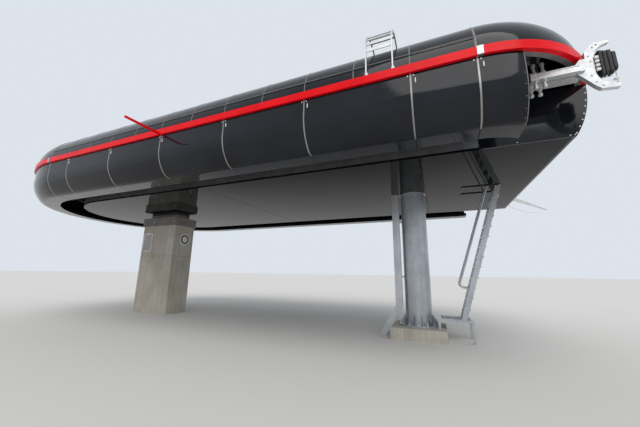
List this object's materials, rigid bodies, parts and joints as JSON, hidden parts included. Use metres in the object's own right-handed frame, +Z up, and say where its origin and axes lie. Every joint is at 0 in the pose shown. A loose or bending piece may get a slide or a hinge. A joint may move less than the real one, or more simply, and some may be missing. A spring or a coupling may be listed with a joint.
{
  "type": "ropeway terminal station",
  "caption": "Covered ropeway terminal: long round-ended housing with a domed roof and a band, open slots for carriers, a bullwheel inside, on a mast and a pillar.",
  "frame": {"origin": "on the mast's axis at floor level, the centre of the footing's underside", "axes": "+X to the line side, where the open mouths are; +Y to the far side, with the guide horn; +Z up"},
  "size_m": [19.31, 9.696, 6.3736],
  "materials": {
    "black_cover": "gloss",
    "red_band": "gloss",
    "galvanised_steel": "satin",
    "dark_steel": "satin",
    "grey_panel": "matte",
    "concrete": "rough",
    "buffer_rubber": "matte",
    "tyre_rubber": "matte"
  },
  "bodies": {
    "station": {"mast_footing": "concrete", "mast": "galvanised_steel", "pillar": "concrete", "pillar_bearing": "dark_steel", "main_girder": "dark_steel", "cross_beams": "galvanised_steel", "tie_beams": "galvanised_steel", "frame_posts": "galvanised_steel", "band_clips": "galvanised_steel", "running_rail": "dark_steel", "rail_brackets": "galvanised_steel", "guide_rail": "galvanised_steel", "conveyors": "galvanised_steel", "bullwheel_shaft": "galvanised_steel", "roof_covers": "black_cover", "roof_front_cap": "black_cover", "roof_rear_cap": "black_cover", "bands_side": "red_band", "band_front": "red_band", "band_rear": "red_band", "band_sleeves": "galvanised_steel", "mouth_ledge": "grey_panel", "arm_hangers": "dark_steel", "side_covers": "black_cover", "mouth_covers": "black_cover", "side_covers_rear": "black_cover", "rear_lips": "black_cover", "belly_panels": "black_cover", "nose": "black_cover", "fork_arms": "galvanised_steel", "fork_buffers": "buffer_rubber", "guide_horn": "galvanised_steel", "access_ladder": "galvanised_steel", "ladder_platform": "galvanised_steel", "cable_duct": "galvanised_steel", "roof_ladder": "galvanised_steel", "roof_line": "galvanised_steel", "outrigger": "red_band"},
    "bullwheel": {"bullwheel": "dark_steel"},
    "tyre_near_1": {"tyre_near_1": "tyre_rubber"},
    "tyre_near_2": {"tyre_near_2": "tyre_rubber"},
    "tyre_near_3": {"tyre_near_3": "tyre_rubber"},
    "tyre_near_4": {"tyre_near_4": "tyre_rubber"},
    "tyre_far_1": {"tyre_far_1": "tyre_rubber"},
    "tyre_far_2": {"tyre_far_2": "tyre_rubber"},
    "tyre_far_3": {"tyre_far_3": "tyre_rubber"},
    "tyre_far_4": {"tyre_far_4": "tyre_rubber"}
  },
  "joints": [
    {"name": "bullwheel_spin", "type": "hinge", "parent": "station", "child": "bullwheel", "pos_m": [-10.61, 0, 4.8], "axis": [0, 0, 1], "continuous": true},
    {"name": "tyre_near_1_spin", "type": "hinge", "parent": "station", "child": "tyre_near_1", "pos_m": [1.06, -3.06, 5.08], "axis": [0, 1, 0], "continuous": true},
    {"name": "tyre_near_2_spin", "type": "hinge", "parent": "station", "child": "tyre_near_2", "pos_m": [0.54, -3.06, 5.08], "axis": [0, 1, 0], "continuous": true},
    {"name": "tyre_near_3_spin", "type": "hinge", "parent": "station", "child": "tyre_near_3", "pos_m": [0.02, -3.06, 5.08], "axis": [0, 1, 0], "continuous": true},
    {"name": "tyre_near_4_spin", "type": "hinge", "parent": "station", "child": "tyre_near_4", "pos_m": [-0.5, -3.06, 5.08], "axis": [0, 1, 0], "continuous": true},
    {"name": "tyre_far_1_spin", "type": "hinge", "parent": "station", "child": "tyre_far_1", "pos_m": [1.06, 3.06, 5.08], "axis": [0, 1, 0], "continuous": true},
    {"name": "tyre_far_2_spin", "type": "hinge", "parent": "station", "child": "tyre_far_2", "pos_m": [0.54, 3.06, 5.08], "axis": [0, 1, 0], "continuous": true},
    {"name": "tyre_far_3_spin", "type": "hinge", "parent": "station", "child": "tyre_far_3", "pos_m": [0.02, 3.06, 5.08], "axis": [0, 1, 0], "continuous": true},
    {"name": "tyre_far_4_spin", "type": "hinge", "parent": "station", "child": "tyre_far_4", "pos_m": [-0.5, 3.06, 5.08], "axis": [0, 1, 0], "continuous": true}
  ]
}
